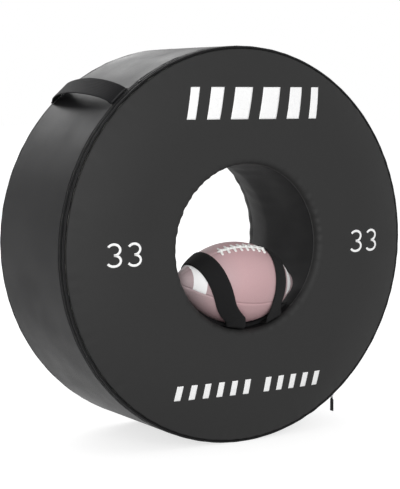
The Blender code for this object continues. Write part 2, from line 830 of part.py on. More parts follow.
make_foam()
make_cover()
make_piping()
chain_top, zip_middle = make_zip()
pin_distance = make_slider(chain_top, zip_middle)
make_puller(pin_distance, zip_middle)
make_handle()
ball_place = ball_frame()
make_ball(ball_place)
make_laces(ball_place)
make_seat()
make_strap("ball_strap_left", ball_place, left_strap_top, left_front_turn, left_back_turn,
           left_front_anchor, left_front_slant, left_back_anchor)
make_strap("ball_strap_right", ball_place, right_strap_top, right_front_turn, right_back_turn,
           right_front_anchor, 0, right_back_anchor)
print("pieces:", len(parts.objects))
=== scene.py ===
import json
from math import cos, pi, radians, sin, sqrt

import bmesh
import bpy
import numpy as np
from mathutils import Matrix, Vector


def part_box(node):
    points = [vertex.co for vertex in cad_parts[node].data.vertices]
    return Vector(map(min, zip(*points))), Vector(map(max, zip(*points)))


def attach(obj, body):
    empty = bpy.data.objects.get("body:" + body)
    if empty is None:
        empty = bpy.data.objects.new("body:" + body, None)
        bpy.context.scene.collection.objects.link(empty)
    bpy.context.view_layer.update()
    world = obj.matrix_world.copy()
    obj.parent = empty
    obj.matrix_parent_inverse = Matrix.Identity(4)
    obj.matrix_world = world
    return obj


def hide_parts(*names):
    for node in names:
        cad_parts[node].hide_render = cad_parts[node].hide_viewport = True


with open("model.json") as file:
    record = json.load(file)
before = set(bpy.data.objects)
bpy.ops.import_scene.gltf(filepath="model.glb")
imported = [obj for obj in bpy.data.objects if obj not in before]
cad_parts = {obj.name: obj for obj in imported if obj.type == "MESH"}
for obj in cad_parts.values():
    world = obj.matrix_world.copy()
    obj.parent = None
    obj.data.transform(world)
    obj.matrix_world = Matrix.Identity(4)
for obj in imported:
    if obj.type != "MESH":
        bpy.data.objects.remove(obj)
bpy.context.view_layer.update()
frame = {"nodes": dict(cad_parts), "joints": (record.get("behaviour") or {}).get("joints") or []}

# Tackling wheel: a foam ring in a zipped cover of black coated fabric, with a webbing handle
# over its tread and a ball held in its hole by two elastic straps.
# Metres, +Z up, the wheel's axis along Y, its front face towards -Y.
# Angles run round the axis from +X upwards, and heights run along it towards the front.

treadLow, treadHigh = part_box("tread_panel")
treadBack, treadFront = -treadHigh.y, -treadLow.y

wheel = {
    "axisHeight": (treadLow.z + treadHigh.z) / 2, "radius": 0.4187,
    "faceEdge": 0.4122, "plateau": 0.262, "rimHeight": 0.1525,
    "frontCrown": 0.03, "backCrown": 0.006,
    "boreRadius": 0.1738, "backFlare": 0.03, "flareStart": -0.01, "flarePower": 1.5,
    "frontLip": 0.015, "backLip": 0.04, "seamRun": 0.0022,
    "groundClearance": 0.0002,
}
backBore = wheel["boreRadius"] + wheel["backFlare"]
sleeveBack = -wheel["rimHeight"] - wheel["backCrown"] + wheel["backLip"]
towardsFront = np.array([0.0, -1.0, 0.0])


# Small tools

def say(stage):
    print("stage:", stage, flush=True)


def smooth(share):
    share = np.clip(share, 0, 1)
    return share * share * (3 - 2 * share)


def unit(vectors):
    return vectors / np.linalg.norm(vectors, axis=-1, keepdims=True)


def together(*parts):
    # The coordinates of points, each as a grid, a row or a column
    return np.stack(np.broadcast_arrays(*parts), -1)


def joined(*parts, axis=0):
    return np.concatenate(parts, axis)


def fullTurn(count):
    return np.linspace(0, 2 * pi, count, endpoint=False)


def bunched(count):
    # Shares from 0 to 1, closer together at both ends
    return 0.5 - 0.5 * np.cos(np.linspace(0, pi, count))


def lengthAlong(points):
    return joined([0], np.cumsum(np.linalg.norm(np.diff(points, axis=0), axis=1)))


def folds(angle, fewest, most, terms, seed):
    # A sum of sines, each with a whole number of waves round the wheel, so that it closes
    draw = np.random.default_rng(seed)
    count = draw.integers(fewest, most + 1, terms)
    phase = draw.uniform(0, 2 * pi, terms)
    weight = draw.uniform(0.5, 1.0, terms)
    waves = weight * np.sin(np.asarray(angle)[..., None] * count + phase)
    return 1.6 * waves.sum(-1) / weight.sum()


def wheelPoints(radius, angle, height):
    # Radius and angle round the axis, and height towards the front. Nothing goes below
    # the ground, so the wheel is flat where it stands.
    z = wheel["axisHeight"] + radius * np.sin(angle)
    return together(radius * np.cos(angle), -height, np.maximum(z, wheel["groundClearance"]))


def gridFaces(rows, columns, closeRows, closeColumns):
    # The four corners of each cell of a grid, as row and column numbers
    i, j = np.indices((rows - 1 + closeRows, columns - 1 + closeColumns)).reshape(2, -1, 1)
    return i + [0, 1, 1, 0], j + [0, 0, 1, 1]


def faceOut(mesh):
    work = bmesh.new()
    work.from_mesh(mesh)
    bmesh.ops.recalc_face_normals(work, faces=work.faces)
    work.to_mesh(mesh)
    work.free()
    return mesh


def surfaceMesh(name, points, uv=None, closeRows=False, closeColumns=False, ends=False,
                outward=None):
    # A grid of points as quads. uv has one more row or column than points where the grid
    # closes. An open sheet looks outward: a direction, or a function of its faces' places.
    rows, columns = points.shape[:2]
    rowAt, columnAt = gridFaces(rows, columns, closeRows, closeColumns)
    faces = (rowAt % rows * columns + columnAt % columns).tolist()
    if ends:
        faces.append(list(range(columns)))
        faces.append(list(range((rows - 1) * columns, rows * columns))[::-1])
    mesh = bpy.data.meshes.new(name)
    mesh.from_pydata(points.reshape(-1, 3), [], faces)
    if uv is not None:
        layer = mesh.uv_layers.new(name="cloth")
        values = uv[rowAt, columnAt].reshape(-1, 2)
        spare = np.zeros((len(mesh.loops) - len(values), 2))
        layer.data.foreach_set("uv", joined(values, spare).ravel())
    if outward is None:
        return faceOut(mesh)
    centres, normals = np.zeros((2, len(mesh.polygons) * 3))
    mesh.polygons.foreach_get("center", centres)
    mesh.polygons.foreach_get("normal", normals)
    ways = outward(centres.reshape(-1, 3)) if callable(outward) else outward
    if (normals.reshape(-1, 3) * ways).sum() < 0:
        mesh.flip_normals()
    return mesh


def awayFromAxis(places):
    return (places - [0, 0, wheel["axisHeight"]]) * [1, 0, 1]


def sweepMany(name, centres, outs, halfWidth, halfHeight, sides):
    # Several paths of equally many centres, each with an oval section carried along it:
    # halfWidth across the path, and halfHeight along its outward direction
    along = unit(np.gradient(centres, axis=1))
    across = unit(np.cross(outs, along))
    rise = np.cross(along, across)
    turn = fullTurn(sides)
    wide = halfWidth[..., None, None] * np.cos(turn)[:, None]
    high = halfHeight[..., None, None] * np.sin(turn)[:, None]
    points = centres[:, :, None] + across[:, :, None] * wide + rise[:, :, None] * high
    paths, steps = centres.shape[:2]
    rowAt, columnAt = gridFaces(steps, sides, False, True)
    one = rowAt * sides + columnAt % sides
    first = np.arange(paths)[:, None, None] * steps * sides
    quads = (one[None] + first).reshape(-1, 4).tolist()
    starts = (first[:, 0] + np.arange(sides)[::-1]).tolist()
    stops = (first[:, 0] + (steps - 1) * sides + np.arange(sides)).tolist()
    mesh = bpy.data.meshes.new(name)
    mesh.from_pydata(points.reshape(-1, 3), [], quads + starts + stops)
    return faceOut(mesh)


def addObject(name, data):
    thing = bpy.data.objects.new(name, data)
    bpy.context.scene.collection.objects.link(thing)
    return thing


def addPiece(name, mesh, material, nodes=(), body="wheel"):
    piece = addObject(name, mesh)
    mesh.materials.append(material)
    mesh.shade_smooth()
    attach(piece, body)
    if nodes:
        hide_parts(*nodes)
    return piece


def gridPiece(name, points, material, slot, nodes=(), body="wheel", wall=0, **shape):
    # A surface as a piece. Where it gets a wall, its own place is the outer side of that.
    piece = addPiece(name, surfaceMesh(name, points, **shape), material, nodes, body)
    if wall:
        solid = piece.modifiers.new("wall", "SOLIDIFY")
        solid.thickness = wall
        solid.offset = -1
    return piece


# Materials

def linear(code):
    # An sRGB hex colour as linear red, green, blue and alpha
    parts = [int(code[i:i + 2], 16) / 255 for i in (0, 2, 4)]
    parts = [c / 12.92 if c <= 0.04045 else ((c + 0.055) / 1.055) ** 2.4 for c in parts]
    return *parts, 1.0


def feed(tree, node, inputs):
    # An input, by name or by place in a list, takes a value or another node's output
    for key, value in inputs.items() if isinstance(inputs, dict) else enumerate(inputs):
        if isinstance(value, bpy.types.NodeSocket):
            tree.links.new(value, node.inputs[key])
        else:
            node.inputs[key].default_value = value


def addNode(tree, kind, inputs=(), output=0, **settings):
    # Adds a node with its settings and links, and gives one of its outputs
    node = tree.nodes.new("ShaderNode" + kind)
    for key, value in settings.items():
        setattr(node, key, value)
    feed(tree, node, inputs)
    return node.outputs[output]


def newMaterial(name):
    material = bpy.data.materials.new(name)
    material.use_nodes = True
    return material, material.node_tree


def dress(material, colour, layers, roughness, bump, gloss=0.5, metallic=0.0, ior=1.5):
    # A colour with others laid over it, each by its own share. The bump is a height,
    # its depth in metres and its strength.
    tree = material.node_tree
    under = linear(colour)
    for share, over in layers:
        under = addNode(tree, "Mix", {0: share, 6: under, 7: linear(over)}, 2, data_type="RGBA")
    height, depth, strength = bump
    normal = addNode(tree, "Bump", {"Height": height, "Distance": depth, "Strength": strength})
    feed(tree, tree.nodes["Principled BSDF"], {
        "Base Color": under, "Roughness": roughness, "Metallic": metallic, "IOR": ior,
        "Specular IOR Level": gloss, "Normal": normal})
    return material


# The list given to a map range is a value, its lowest and highest, and what those become

def coatedFabric(name, colour, worn, roughness, gloss, grain=0.0022):
    # PVC-coated polyester: satin black with a fine grain, and cloudy patches where hands
    # and grass have dulled it. The grain is drawn larger than its real 1 mm, to show.
    material, tree = newMaterial(name)
    place = addNode(tree, "TexCoord", output="Object")
    cloud = addNode(tree, "TexNoise", {
        "Vector": place, "Scale": 9.0, "Detail": 4.0, "Roughness": 0.55})
    speck = addNode(tree, "TexNoise", {"Vector": place, "Scale": 240.0, "Detail": 2.0})
    cells = addNode(tree, "TexVoronoi", {"Vector": place, "Scale": 1 / grain},
                    feature="DISTANCE_TO_EDGE")
    wear = addNode(tree, "Mix", {0: 0.25, 2: cloud, 3: speck})
    wear = addNode(tree, "MapRange", [wear, 0.35, 0.68, 0.0, 1.0])
    dull = addNode(tree, "MapRange", [cloud, 0.3, 0.7, roughness - 0.05, roughness + 0.07])
    pebble = addNode(tree, "MapRange", [cells, 0.0, 0.6 / 2.2, 0.0, 0.6])
    height = addNode(tree, "Math", [speck, 0.5, pebble], operation="MULTIPLY_ADD")
    return dress(material, colour, [(wear, worn)], dull, (height, 0.00012, 0.6), gloss)


def wovenWebbing(name, colour, pale, ribSpacing, pickSpacing, roughness, depth=0.0004, gloss=0.3):
    # Ribs run along the band, and the weft makes fine steps across them that break its
    # sheen into dashes. The UV map is in metres, across then along.
    material, tree = newMaterial(name)
    cloth = addNode(tree, "UVMap", uv_map="cloth")
    across = addNode(tree, "SeparateXYZ", [cloth], "X")
    along = addNode(tree, "SeparateXYZ", [cloth], "Y")
    ribs = addNode(tree, "Math", [across, pi / ribSpacing], operation="MULTIPLY")
    for step in ("SINE", "ABSOLUTE"):
        ribs = addNode(tree, "Math", [ribs], operation=step)
    side = addNode(tree, "Math", [across, 2 * pi / ribSpacing], operation="MULTIPLY")
    for step in ("SINE", "SIGN"):
        side = addNode(tree, "Math", [side], operation=step)
    picks = addNode(tree, "Math", [along, 2 * pi / pickSpacing, side], operation="MULTIPLY_ADD")
    picks = addNode(tree, "Math", [picks], operation="SINE")
    height = addNode(tree, "Math", [picks, 0.25, ribs], operation="MULTIPLY_ADD")
    fuzz = addNode(tree, "TexNoise", {"Vector": cloth, "Scale": 900.0, "Detail": 2.0})
    # The crests of the ribs and picks are painted paler, a painted highlight, with some random
    # fuzz
    share = addNode(tree, "Math", [height, fuzz], operation="ADD")
    share = addNode(tree, "MapRange", [share, 0.3, 1.9, 0.0, 1.0])
    return dress(material, colour, [(share, pale)], roughness, (height, depth, 0.8), gloss,
                 ior=1.49)


def plainMoulded(name, colour, worn, roughness, scale, depth=0.00005, metallic=0.0):
    # Moulded, cast or spun, with faint mottling, in its gloss as well
    material, tree = newMaterial(name)
    place = addNode(tree, "TexCoord", output="Object")
    mottle = addNode(tree, "TexNoise", {"Vector": place, "Scale": scale, "Detail": 5.0})
    share = addNode(tree, "MapRange", [mottle, 0.35, 0.7, 0.0, 1.0])
    dull = addNode(tree, "MapRange", [mottle, 0.3, 0.7, roughness * 0.85, roughness * 1.15])
    return dress(material, colour, [(share, worn)], dull, (mottle, depth, 1.0), metallic=metallic)


# The tip colour is painted shade towards the ball's two ends
ballLook = {
    "leather": "c29ea1", "tipPaintedShade": "a09092", "pebbleTop": "cbb0b1",
    "white": "f4f4f4", "stripe": (0.11025, 0.01075),
}


def pebbledLeather(name, striped):
    # Faded composition leather: dusty pink, with painted shade greyer towards the tips. Its
    # pebbles, really about 1.5 mm apart, are drawn at 2.5 mm. The UV map is in metres, along then
    # round.
    # The stripe is given by its middle and half its width.
    material, tree = newMaterial(name)
    place = addNode(tree, "TexCoord", output="Object")
    cells = addNode(tree, "TexVoronoi", {"Vector": place, "Scale": 400.0})
    cloud = addNode(tree, "TexNoise", {"Vector": place, "Scale": 26.0, "Detail": 4.0})
    along = addNode(tree, "SeparateXYZ", [addNode(tree, "UVMap", uv_map="cloth")], "X")
    fromMiddle = addNode(tree, "Math", [along], operation="ABSOLUTE")
    # Painted shade: greyer towards both tips, its edge made uneven by noise
    tip = addNode(tree, "Math", [cloud, 0.03, fromMiddle], operation="MULTIPLY_ADD")
    tip = addNode(tree, "MapRange", [tip, 0.05, 0.15, 0.0, 1.0])
    pebble = addNode(tree, "MapRange", [cells, 0.0, 0.6, 0.35, 0.0])
    pebble = addNode(tree, "Math", [pebble, cloud], operation="MULTIPLY")
    layers = [(tip, ballLook["tipPaintedShade"]), (pebble, ballLook["pebbleTop"])]
    if striped:
        inside = addNode(tree, "Math", [fromMiddle, *ballLook["stripe"]], operation="COMPARE")
        layers.append((inside, ballLook["white"]))
    return dress(material, ballLook["leather"], layers, 0.55, (cells, 0.0005, 0.45))


def printedInk(name, colour, thin):
    # Screen-printed, a little thinner over the grain
    material, tree = newMaterial(name)
    place = addNode(tree, "TexCoord", output="Object")
    cells = addNode(tree, "TexVoronoi", {"Vector": place, "Scale": 420.0})
    cloud = addNode(tree, "TexNoise", {"Vector": place, "Scale": 60.0, "Detail": 3.0})
    share = addNode(tree, "MapRange", [cells, 0.45, 0.9, 0.0, 0.5])
    share = addNode(tree, "Math", [share, cloud], operation="MULTIPLY")
    return dress(material, colour, [(share, thin)], 0.5, (cells, 0.0001, 0.4))


say("materials")
faceFabric = coatedFabric("black_coated_fabric_face", "242424", "292929", 0.62, 0.25)
treadFabric = coatedFabric("black_coated_fabric_tread", "1e1e1f", "232324", 0.38, 0.08)
# A darker copy of the cover fabric for the sleeve and the pad inside the hole: painted shade
shadedSleeveFabric = coatedFabric("black_coated_fabric_sleeve_painted_shade", "121213", "171718", 0.68, 0.2)
edgeCord = coatedFabric("black_coated_cord", "0e0e0f", "171718", 0.38, 0.12, grain=0.0015)
tapeCloth = wovenWebbing("woven_nylon_zip_tape", "060607", "0d0d0e", 0.0012, 0.0016, 0.8,
                         0.0002, gloss=0.1)
handleWebbing = wovenWebbing("black_polypropylene_webbing", "060608", "141416", 0.004, 0.003,
                             0.75, gloss=0.2)
strapElastic = wovenWebbing("black_woven_elastic", "050506", "0c0c0d", 0.0022, 0.0016, 0.88,
                            0.0003)
coilNylon = plainMoulded("black_nylon_zip_coil", "121213", "1e1e20", 0.42, 300.0)
sewingThread = plainMoulded("black_bonded_thread", "1a1a1b", "3a3a3c", 0.55, 900.0)
nickelZinc = plainMoulded("nickel_plated_zinc", "c9c9cc", "a9a9ad", 0.28, 500.0, metallic=1.0)
blackZinc = plainMoulded("black_painted_zinc", "161617", "222224", 0.45, 500.0)
tabRubber = plainMoulded("moulded_black_rubber_tab", "050506", "0e0e0f", 0.75, 200.0)
laceCord = plainMoulded("white_vinyl_lace", "f6f6f4", "e4e4e1", 0.45, 350.0, 0.0001)
valveRubber = plainMoulded("black_valve_rubber", "141414", "222222", 0.65, 250.0)
bladderRubber = plainMoulded("butyl_bladder_rubber", "1a1a1b", "262627", 0.7, 60.0)
foamCells = plainMoulded("open_cell_foam", "8c8c86", "a3a39c", 0.95, 700.0, 0.0004)
upperLeather = pebbledLeather("pebbled_leather_striped", True)
lowerLeather = pebbledLeather("pebbled_leather", False)
whiteInk = printedInk("white_screen_ink", "fcfcfc", "dcdcdc")


# Cover: two faces that roll over into the hole, the tread round them, and the sleeve.
# Each entry that ends in Folds is the fewest and the most waves, and how many sines.

cover = {
    "thickness": 0.0006, "hem": 0.0006, "lipStep": 0.0012, "seamRows": 5,
    "turns": 512, "treadTurns": 640, "lipSteps": 24, "faceSteps": 120,
    "frontRows": 76, "backRows": 56, "lipRows": 30, "treadRows": 26, "sleeveRows": 60,
    "rimGather": 0.0007, "rimGatherWidth": 0.05, "rimFolds": (52, 104, 9),
    "holeGather": 0.0019, "holeGatherWidth": 0.026, "holeFolds": (26, 62, 9),
    "faceSlack": 0.0009, "faceFolds": (3, 9, 5), "deepest": 0.0012,
    "treadFacets": 0.00035, "treadSlack": 0.0004, "treadLimits": (-0.0005, 0.0009),
    "treadHem": 0.0007, "treadHemWidth": 0.0018,
    "treadGather": 0.0003, "treadGatherWidth": 0.03,
    "sleevePleat": 0.0024, "sleeveSeat": 0.0003, "pleatLean": 0.1, "pleatSwells": 2.5,
    "clearOfBall": radians(58.0), "clearFade": 0.2,
}


def coverPiece(name, points, fabric, slot, nodes, outward):
    # Cloth round the axis, tight over the foam
    gridPiece(name, points, fabric, slot, nodes, wall=cover["thickness"],
                        closeColumns=True, outward=outward)


def faceRipple(radius, angle, side):
    # Gathers that die out away from the rim and from the hole's edge, and slow waves between
    seed, hole = (11, wheel["boreRadius"]) if side > 0 else (21, backBore)
    width = cover["rimGatherWidth"]
    nearRim = smooth((radius - wheel["faceEdge"] + width) / width)
    nearHole = 1 - smooth((radius - hole) / cover["holeGatherWidth"])
    span = (radius - wheel["boreRadius"]) / (wheel["faceEdge"] - wheel["boreRadius"])
    between = np.sin(pi * np.clip(span, 0, 1))
    slow = cover["faceSlack"] * folds(angle, *cover["faceFolds"], seed) * between
    rim = cover["rimGather"] * folds(angle, *cover["rimFolds"], seed + 1)
    gather = cover["holeGather"] * folds(angle, *cover["holeFolds"], seed + 2)
    return np.maximum(slow + rim * nearRim ** 1.5 + gather * nearHole, -cover["deepest"])


def faceHeight(radius, crown):
    # Flat near the hole, then a parabola down to the rim
    share = np.clip((radius - wheel["plateau"]) / (wheel["faceEdge"] - wheel["plateau"]), 0, 1)
    return wheel["rimHeight"] + crown * (1 - share ** 2)


def lipOutline(crown, lip, bore):
    # Radius and height: up out of the hole, then a quarter round
    turn = np.linspace(pi, pi / 2, cover["lipSteps"])
    middle = wheel["rimHeight"] + crown - lip
    radius = joined([bore], bore + lip + lip * np.cos(turn))
    height = joined([middle - wheel["seamRun"]], middle + lip * np.sin(turn))
    return np.stack([radius, height], -1)


def runOutline(crown, start):
    # Radius and height: along the face to the rim, and turned under at the corded edge
    run = np.linspace(start, wheel["faceEdge"], cover["faceSteps"])
    hem = [[wheel["faceEdge"] + cover["hem"], wheel["rimHeight"] - 2 * cover["hem"]]]
    return joined(np.stack([run, faceHeight(run, crown)], -1), hem)


def faceCover(name, outline, side, rows, nodes, fromSleeve=True):
    # The outline, evenly spaced and turned about the axis. The ripple moves it along its
    # normal, and fades where the sleeve is sewn on.
    length = lengthAlong(outline)
    wanted = np.linspace(0, length[-1], rows)
    radius, height = [np.interp(wanted, length, values) for values in outline.T]
    outward = unit(np.stack([-np.gradient(height), np.gradient(radius)], -1))
    angle = fullTurn(cover["turns"])[None]
    lift = faceRipple(radius[:, None], angle, side)
    if fromSleeve:
        lift = lift * smooth(np.arange(rows) / cover["seamRows"])[:, None]
    r = radius[:, None] + outward[:, 0:1] * lift
    h = height[:, None] + outward[:, 1:2] * lift
    coverPiece(name, wheelPoints(r, angle, side * h), faceFabric, "cover_vinyl", nodes,
               side * towardsFront)


def boreLine(height):
    # Straight in front, then wider towards the lip behind, as a power of the way there
    share = (wheel["flareStart"] - height) / (wheel["flareStart"] - sleeveBack)
    return wheel["boreRadius"] + wheel["backFlare"] * np.clip(share, 0, 1) ** wheel["flarePower"]


def sleeveCover():
    # A tube along the hole; its pleats only go inwards, and not where the ball is held
    front = wheel["rimHeight"] + wheel["frontCrown"] - wheel["frontLip"]
    height = np.linspace(sleeveBack, front, cover["sleeveRows"])[:, None]
    angle = fullTurn(cover["turns"])[None]
    along = (height - sleeveBack) / (front - sleeveBack)
    leaning = angle + cover["pleatLean"] * np.sin(pi * along)
    pleats = 0.5 + 0.5 * folds(leaning, 14, 38, 7, 31)
    swell = 2 * pi * cover["pleatSwells"] * along + 2 * folds(angle, 3, 8, 4, 37)
    slow = 0.5 + 0.5 * np.sin(swell)
    fromBottom = np.abs(np.mod(angle + pi * 1.5, 2 * pi) - pi)
    clear = smooth((fromBottom - cover["clearOfBall"]) / cover["clearFade"])
    depth = cover["sleevePleat"] * np.clip(0.7 * pleats + 0.3 * slow, 0, 1.3)
    ends = np.sin(pi * along) ** 0.35
    radius = boreLine(height) + cover["sleeveSeat"] - depth * ends * clear
    # Its darker fabric is painted shade inside the hole
    coverPiece("hole_sleeve", wheelPoints(radius, angle, height), shadedSleeveFabric, "cover_vinyl",
               ["bore_sleeve"], lambda places: -awayFromAxis(places))


def treadRadius(angle, height):
    # A circle with soft flats, slack along its middle and small gathers at its two hems
    share = np.clip((height - treadBack) / (treadFront - treadBack), 0, 1)
    flats = cover["treadFacets"] * folds(angle, 22, 34, 5, 41)
    slack = cover["treadSlack"] * folds(angle + 0.2 * share, 5, 12, 5, 43)
    edge = np.minimum(height - treadBack, treadFront - height)
    near = smooth(1 - edge / cover["treadGatherWidth"]) ** 2
    gather = near * cover["treadGather"] * folds(angle, 80, 140, 8, 47)
    turnedIn = cover["treadHem"] * (1 - smooth(edge / cover["treadHemWidth"]))
    ripple = np.clip(flats + slack * np.sin(pi * share) + gather, *cover["treadLimits"])
    return wheel["radius"] + ripple - turnedIn


def treadCover():
    height = (treadBack + (treadFront - treadBack) * bunched(cover["treadRows"]))[:, None]
    angle = fullTurn(cover["treadTurns"])[None]
    coverPiece("tread_cover", wheelPoints(treadRadius(angle, height), angle, height),
               treadFabric, "tread_vinyl", ["tread_panel"], awayFromAxis)


say("cover")
frontLip = lipOutline(wheel["frontCrown"], wheel["frontLip"], wheel["boreRadius"])
frontRun = runOutline(wheel["frontCrown"],
                      wheel["boreRadius"] + wheel["frontLip"] + cover["lipStep"])
faceCover("front_cover", joined(frontLip, frontRun), 1, cover["frontRows"],
          ["front_panel", "hole_lip_front"])
faceCover("back_cover", runOutline(wheel["backCrown"], backBore + wheel["backLip"]), -1,
          cover["backRows"], ["back_panel"], fromSleeve=False)
faceCover("hole_back_lip", lipOutline(wheel["backCrown"], wheel["backLip"], backBore), -1,
          cover["lipRows"], ["hole_lip_back"])
sleeveCover()
treadCover()


# Corded edges, the sewn band, the zip, and the rows of stitches beside them

rims = {
    "cordRadius": 0.003, "cordInset": 0.0035, "cordProud": 0.0003,
    "cordSides": 14, "cordSteps": 900,
    "cordPinch": 0.05, "cordUneven": 0.04, "cordWander": (0.0003, 0.0004),
    "stitchLength": 0.0032, "stitchPitch": 0.0046, "stitchThread": 0.00035,
    "stitchInset": 0.004, "stitchLift": 0.0001, "stitchBite": 0.00025,
    "zipTurn": (radians(-56.2), radians(125.0)),
    "bandInset": 0.0068, "gap": 0.0003, "endGap": 0.001,
    "band": {"dome": 0.0006, "thickness": 0.0008},
    "tape": {"dome": 0.0003, "thickness": 0.0006},
    "tapeWidth": 0.004, "stripBase": 0.4174, "stripWave": 0.00015,
    "coilBase": 0.4168, "coilTop": 0.4191, "coilEnd": 0.0135, "coilSides": 10,
    "toothPitch": 0.0022,
}


def cordedEdge(name, side, seed, node):
    # A round cord in a folded strip: it waves a little, and its stitches pinch it
    angle = fullTurn(rims["cordSteps"])[:, None]
    turn = fullTurn(rims["cordSides"])[None]
    stitches = round(2 * pi * wheel["radius"] / rims["stitchPitch"])
    pinch = 1 - rims["cordPinch"] * (0.5 + 0.5 * np.cos(angle * stitches))
    size = rims["cordRadius"] * (pinch + rims["cordUneven"] * folds(angle, 40, 90, 6, seed))
    out, aside = rims["cordWander"]
    out = rims["cordProud"] - rims["cordInset"] + out * folds(angle, 30, 70, 7, seed + 1)
    aside = wheel["rimHeight"] - rims["cordInset"] + aside * folds(angle, 40, 90, 7, seed + 2)
    points = wheelPoints(wheel["radius"] + out + size * np.cos(turn), angle,
                         side * (aside + size * np.sin(turn)))
    gridPiece(name, points, edgeCord, "piping", [node], closeRows=True, closeColumns=True)


def stitchPiece(name, centres, outs, thread):
    # Short capsules, one for each stitch
    size = thread * np.array([0.4, 0.9, 1.0, 0.9, 0.4])
    addPiece(name, sweepMany(name, centres, outs, size, size, 6), sewingThread)


def stitchRow(name, height):
    # Round the tread, each stitch following it and biting in at its ends
    count = int(2 * pi * wheel["radius"] / rims["stitchPitch"])
    steps = np.array([-1.0, -0.75, 0.0, 0.75, 1.0])
    angle = fullTurn(count)[:, None] + rims["stitchLength"] / 2 / wheel["radius"] * steps
    lift = rims["stitchLift"] - rims["stitchBite"] * np.abs(steps) ** 3
    centres = wheelPoints(treadRadius(angle, height) + lift, angle, height)
    outs = together(np.cos(angle), 0, np.sin(angle))
    stitchPiece(name, centres, outs, rims["stitchThread"])


def bandStrip(name, span, low, high, build, material, slot, nodes):
    # A strip round the rim, domed across its width
    start, stop = span
    angle = np.linspace(start, stop, int((stop - start) * 110))[:, None]
    across = np.linspace(0, 1, 9)[None]
    rise = build["dome"] + rims["stripWave"] * folds(angle, 60, 120, 8, 53)
    radius = rims["stripBase"] + rise * np.sin(pi * across) ** 0.6
    across = (high - low) * across
    gridPiece(name, wheelPoints(radius, angle, low + across), material, slot, nodes,
              wall=build["thickness"], uv=together(across, wheel["radius"] * angle),
              outward=awayFromAxis)


def zipCoil(start, stop, low, high):
    # A rounded bar with a tooth every 2.2 mm: its width and its height fall between teeth
    teeth = int((stop - start) * wheel["radius"] / rims["toothPitch"])
    angle = np.linspace(start, stop, teeth * 4 + 1)[:, None]
    ridge = (0.5 + 0.5 * np.cos(2 * pi * teeth * (angle - start) / (stop - start))) ** 0.7
    turn = fullTurn(rims["coilSides"])[None]
    wide = (high - low) / 2 * (0.78 + 0.22 * ridge)
    tall = (rims["coilTop"] - rims["coilBase"]) / 2 * (0.72 + 0.28 * ridge)
    rise = tall * np.sign(np.sin(turn)) * np.abs(np.sin(turn)) ** 0.8
    aside = wide * np.sign(np.cos(turn)) * np.abs(np.cos(turn)) ** 0.8
    points = wheelPoints(rims["coilBase"] + tall + rise, angle, (low + high) / 2 + aside)
    gridPiece("zip_coil", points, coilNylon, "zip_coil", ["zip_chain"], closeColumns=True,
              ends=True)


say("edges and zip")
cordedEdge("front_corded_edge", 1, 61, "front_piping")
cordedEdge("back_corded_edge", -1, 71, "back_piping")

# The tread's folded hem lies over the back tape, and over the back of the sewn band
bandHigh = wheel["rimHeight"] - rims["bandInset"]
zipLow = bandHigh - 3 * rims["tapeWidth"] - 2 * rims["gap"]
hemHigh = zipLow + rims["tapeWidth"]
zipStart, zipStop = zipSpan = rims["zipTurn"]
bandSpan = (zipStop + rims["endGap"], zipStart + 2 * pi - rims["endGap"])
bandStrip("front_sewn_band", bandSpan, hemHigh, bandHigh, rims["band"], tapeCloth,
          "tread_vinyl", ["front_seam_band"])
bandStrip("front_band_hem", bandSpan, zipLow, hemHigh, rims["band"], treadFabric,
          "tread_vinyl", [])
bandStrip("front_zip_tape", zipSpan, bandHigh - rims["tapeWidth"], bandHigh, rims["tape"],
          tapeCloth, "zip_tape", ["zip_tape_front"])
bandStrip("back_zip_tape", zipSpan, zipLow, hemHigh, rims["tape"], treadFabric,
          "zip_tape", ["zip_tape_back"])
coilLow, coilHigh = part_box("zip_chain")
zipCoil(zipStart + rims["coilEnd"], zipStop - rims["coilEnd"], -coilHigh.y, -coilLow.y)
stitchRow("front_tread_stitches", treadFront - rims["stitchInset"])
stitchRow("back_tread_stitches", treadBack + rims["stitchInset"])


# Flat bands: the handle here, and the straps further down

def bandSection(band):
    # Once round a ribbed band: how far across, from -1 to 1, and how far out of its middle
    across = np.linspace(-1, 1, band["columns"])
    loop = joined(across, across[::-1])[None]
    side = np.repeat([[1.0, -1.0]], band["columns"], 1)
    power, thinnest = band["edge"]
    edge = np.sqrt(np.clip(1 - np.abs(loop) ** power, thinnest, 1))
    ribs = band["ribDepth"] * np.abs(np.sin(pi * band["ribs"] * (loop + 1) / 2))
    return loop, side * (band["thickness"] / 2 * edge + ribs)


def bandPiece(name, band, points, loop, along, material, slot, node):
    across = joined(loop, loop[:, :1], axis=1) * band["width"] / 2
    piece = gridPiece(name, points, material, slot, [node], uv=together(across, along),
                      closeColumns=True, ends=True)


handle = {
    "angle": 2 * pi / 52 * 19, "seat": 0.0009,
    "width": 0.048, "thickness": 0.0028, "edge": (12, 0.02),
    "rise": 0.027, "archPower": 0.45, "archStart": 0.012,
    "ends": (-0.131, 0.148), "foot": 0.008,
    "rows": 120, "columns": 25, "ribs": 12, "ribDepth": 0.00022,
    "freeLift": 0.006, "narrowing": 0.03, "cup": 0.0012, "twist": 0.0006,
    "stitchPlace": 0.0043, "stitchHalf": 0.0026, "stitchMargin": 0.005,
    "stitchPitch": 0.0036, "stitchReach": 0.0013, "stitchThread": 0.0003,
}
handleOut = np.array([cos(handle["angle"]), 0, sin(handle["angle"])])


def handlePoints(out, aside, depth):
    # Points at a distance from the axis and to the side of the handle's middle
    sideways = np.array([-handleOut[2], 0, handleOut[0]])
    points = out[..., None] * handleOut + aside[..., None] * sideways
    points[..., 1] += depth
    points[..., 2] += wheel["axisHeight"]
    return points


